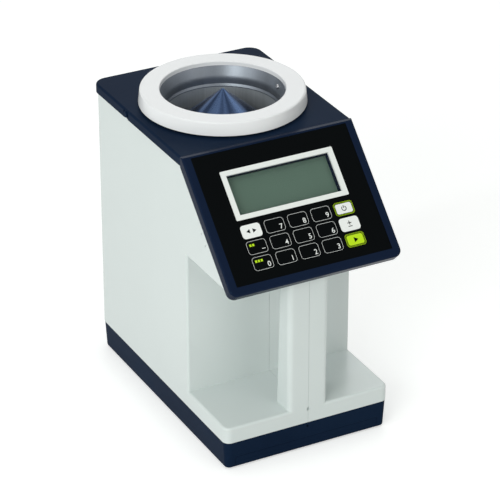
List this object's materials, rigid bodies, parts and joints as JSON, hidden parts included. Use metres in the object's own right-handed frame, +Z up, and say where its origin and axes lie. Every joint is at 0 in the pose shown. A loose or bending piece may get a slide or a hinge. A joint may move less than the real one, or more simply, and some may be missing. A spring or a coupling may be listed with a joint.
{
  "type": "grain moisture meter",
  "caption": "Bench grain moisture meter: round hopper over a cylindrical measuring cell, sloping panel with display and keypad, open recess with a grip pillar below.",
  "frame": {"origin": "on the table, under the middle of the overall box; the rubber feet stand at z = 0", "axes": "+Z up out of the hopper, -Y towards the user and the keypad, +X to the user's right"},
  "size_m": [0.1266, 0.205, 0.215],
  "materials": {
    "navy": "satin",
    "case_white": "satin",
    "ring_white": "satin",
    "bezel_blue": "satin",
    "overlay_black": "matt",
    "key_white": "matt",
    "key_black": "matt",
    "key_green": "matt",
    "border_white": "matt",
    "clear": "clear",
    "lcd": "gloss",
    "black_plastic": "matt",
    "board_green": "satin",
    "film": "satin",
    "bowl_metal": "satin",
    "electrode_metal": "turned",
    "insulator": "matt",
    "steel": "satin",
    "alloy": "satin",
    "screw_metal": "satin",
    "cell_can": "painted",
    "rubber": "matt"
  },
  "bodies": {
    "housing": {"base_pan": "navy", "rubber_feet": "rubber", "base_screws": "screw_metal", "batteries": "cell_can", "battery_contacts": "screw_metal", "body_left": "case_white", "body_right": "case_white", "top_cover": "navy", "cover_screws": "navy", "panel_bezel": "bezel_blue", "keypad_overlay": "overlay_black", "membrane_circuit": "film", "key_domes": "steel", "display_border": "border_white", "display_window": "clear", "lcd_glass": "lcd", "lcd_holder": "black_plastic", "display_board": "board_green", "display_board_screws": "screw_metal", "buzzer": "black_plastic", "load_cell": "alloy", "load_cell_mount": "alloy", "load_cell_screws": "screw_metal", "chassis_tray": "steel", "tray_screws": "screw_metal", "main_board": "board_green", "main_board_screws": "screw_metal"},
    "battery_cover": {"battery_cover": "navy"},
    "weigh_cell": {"hopper_ring": "ring_white", "hopper_bowl": "bowl_metal", "ring_screws": "screw_metal", "sample_thermistor": "screw_metal", "outer_electrode": "electrode_metal", "centre_electrode": "electrode_metal", "cell_base": "insulator", "cell_screws": "screw_metal", "weigh_platform": "alloy"},
    "key_select": {"key_select": "key_white"},
    "key_7": {"key_7": "key_black"},
    "key_8": {"key_8": "key_black"},
    "key_9": {"key_9": "key_black"},
    "key_power": {"key_power": "key_white"},
    "key_minus": {"key_minus": "key_black"},
    "key_4": {"key_4": "key_black"},
    "key_5": {"key_5": "key_black"},
    "key_6": {"key_6": "key_black"},
    "key_bias": {"key_bias": "key_white"},
    "key_0": {"key_0": "key_black"},
    "key_1": {"key_1": "key_black"},
    "key_2": {"key_2": "key_black"},
    "key_3": {"key_3": "key_black"},
    "key_measure": {"key_measure": "key_green"}
  },
  "joints": [
    {"name": "battery_cover_slide", "type": "slide", "parent": "housing", "child": "battery_cover", "axis": [0, -1, 0], "range_m": [0, 0.007]},
    {"name": "weigh_cell_sink", "type": "slide", "parent": "housing", "child": "weigh_cell", "axis": [0, 0, -1], "range_m": [0, 0.0003], "stiffness_N_per_m": 40000, "springref_m": -0.00013},
    {"name": "key_select_press", "type": "slide", "parent": "housing", "child": "key_select", "axis": [0, 0.701, -0.7131], "range_m": [0, 0.00035], "stiffness_N_per_m": 300},
    {"name": "key_7_press", "type": "slide", "parent": "housing", "child": "key_7", "axis": [0, 0.701, -0.7131], "range_m": [0, 0.00035], "stiffness_N_per_m": 300},
    {"name": "key_8_press", "type": "slide", "parent": "housing", "child": "key_8", "axis": [0, 0.701, -0.7131], "range_m": [0, 0.00035], "stiffness_N_per_m": 300},
    {"name": "key_9_press", "type": "slide", "parent": "housing", "child": "key_9", "axis": [0, 0.701, -0.7131], "range_m": [0, 0.00035], "stiffness_N_per_m": 300},
    {"name": "key_power_press", "type": "slide", "parent": "housing", "child": "key_power", "axis": [0, 0.701, -0.7131], "range_m": [0, 0.00035], "stiffness_N_per_m": 300},
    {"name": "key_minus_press", "type": "slide", "parent": "housing", "child": "key_minus", "axis": [0, 0.701, -0.7131], "range_m": [0, 0.00035], "stiffness_N_per_m": 300},
    {"name": "key_4_press", "type": "slide", "parent": "housing", "child": "key_4", "axis": [0, 0.701, -0.7131], "range_m": [0, 0.00035], "stiffness_N_per_m": 300},
    {"name": "key_5_press", "type": "slide", "parent": "housing", "child": "key_5", "axis": [0, 0.701, -0.7131], "range_m": [0, 0.00035], "stiffness_N_per_m": 300},
    {"name": "key_6_press", "type": "slide", "parent": "housing", "child": "key_6", "axis": [0, 0.701, -0.7131], "range_m": [0, 0.00035], "stiffness_N_per_m": 300},
    {"name": "key_bias_press", "type": "slide", "parent": "housing", "child": "key_bias", "axis": [0, 0.701, -0.7131], "range_m": [0, 0.00035], "stiffness_N_per_m": 300},
    {"name": "key_0_press", "type": "slide", "parent": "housing", "child": "key_0", "axis": [0, 0.701, -0.7131], "range_m": [0, 0.00035], "stiffness_N_per_m": 300},
    {"name": "key_1_press", "type": "slide", "parent": "housing", "child": "key_1", "axis": [0, 0.701, -0.7131], "range_m": [0, 0.00035], "stiffness_N_per_m": 300},
    {"name": "key_2_press", "type": "slide", "parent": "housing", "child": "key_2", "axis": [0, 0.701, -0.7131], "range_m": [0, 0.00035], "stiffness_N_per_m": 300},
    {"name": "key_3_press", "type": "slide", "parent": "housing", "child": "key_3", "axis": [0, 0.701, -0.7131], "range_m": [0, 0.00035], "stiffness_N_per_m": 300},
    {"name": "key_measure_press", "type": "slide", "parent": "housing", "child": "key_measure", "axis": [0, 0.701, -0.7131], "range_m": [0, 0.00035], "stiffness_N_per_m": 300}
  ]
}
